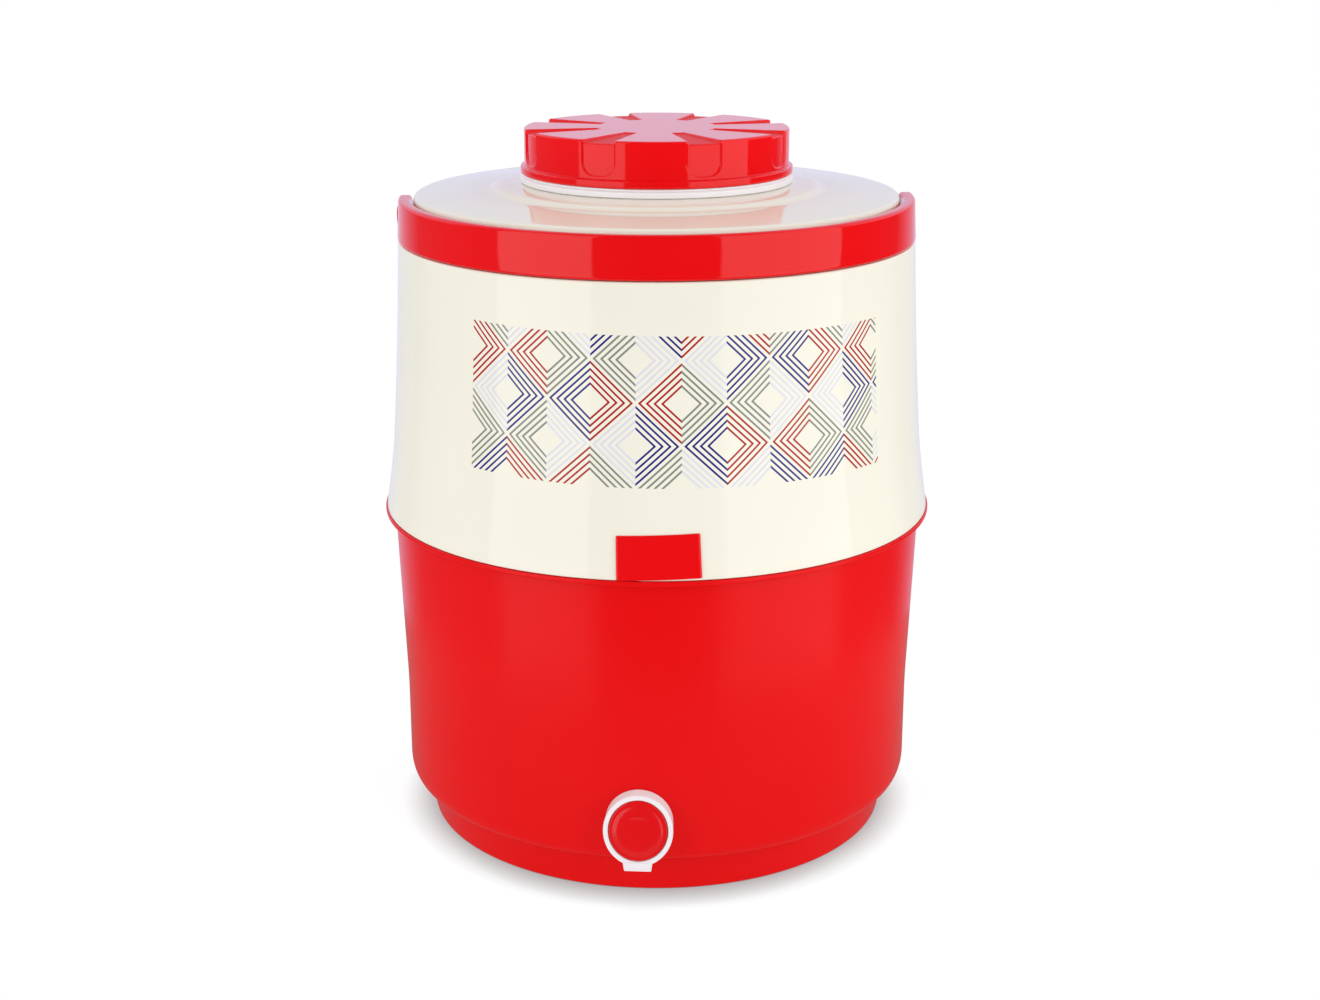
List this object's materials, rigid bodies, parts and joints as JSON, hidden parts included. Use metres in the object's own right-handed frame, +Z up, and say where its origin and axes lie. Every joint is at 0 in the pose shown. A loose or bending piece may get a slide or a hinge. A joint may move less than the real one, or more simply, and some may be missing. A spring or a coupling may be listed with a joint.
{
  "type": "insulated water jug",
  "caption": "Round foam-insulated water jug in two shells, with a folding bail handle, a screw cap with a foam core and a push-button tap low on the front.",
  "frame": {"origin": "on the jug's axis, at the table under the foot ring; only the tap, which stands out 5 mm further than the flange, keeps it 2.6 mm from the middle of the box", "axes": "+Z up along the jug's axis; -Y out of the tap, towards the front; +X to the right seen from the front"},
  "size_m": [0.3314, 0.3366, 0.4203],
  "materials": {
    "red_plastic": "glossy moulded",
    "cream_plastic": "glossy moulded, printed",
    "white_plastic": "satin moulded",
    "liner_plastic": "blow-moulded, food grade",
    "foam": "foamed in place",
    "rubber": "matt",
    "steel": "drawn wire and stamped strip"
  },
  "bodies": {
    "jug": {"lower_shell": "red_plastic", "upper_shell": "cream_plastic", "inner_tank": "liner_plastic", "foam_insulation": "foam", "neck_ring": "white_plastic", "base_plug": "red_plastic", "label_plate": "red_plastic", "handle_pin_left": "red_plastic", "handle_pin_right": "red_plastic", "pin_clip_left": "steel", "pin_clip_right": "steel", "tap_body": "white_plastic", "tap_spring": "steel", "tap_gasket": "rubber", "tap_washer": "rubber", "tap_nut": "white_plastic"},
    "tap_plunger": {"tap_button": "red_plastic", "tap_stem": "white_plastic", "tap_seal": "rubber"},
    "cap_seat": {"cap_gasket": "rubber"},
    "cap": {"cap_shell": "red_plastic", "cap_plug": "white_plastic", "cap_foam": "foam"},
    "handle": {"handle": "red_plastic"}
  },
  "joints": [
    {"name": "button_press", "type": "slide", "parent": "jug", "child": "tap_plunger", "axis": [0, 1, 0], "range_m": [0, 0.005], "stiffness_N_per_m": 800, "springref_m": -0.003, "deforming": ["tap_spring"]},
    {"name": "cap_rise", "type": "slide", "parent": "jug", "child": "cap_seat", "axis": [0, 0, 1], "range_m": [0, 0.009]},
    {"name": "cap_turn", "type": "hinge", "parent": "cap_seat", "child": "cap", "pos_m": [0, 0, 0.4], "axis": [0, 0, 1], "range_deg": [0, 540]},
    {"name": "handle_fold", "type": "hinge", "parent": "jug", "child": "handle", "pos_m": [0, 0, 0.36895], "axis": [-0.9945, -0.1045, 0], "range_deg": [0, 180]}
  ],
  "couplings": [
    {"joint": "cap_rise", "follows": "cap_turn", "m_per_rad": 0.00095493}
  ]
}
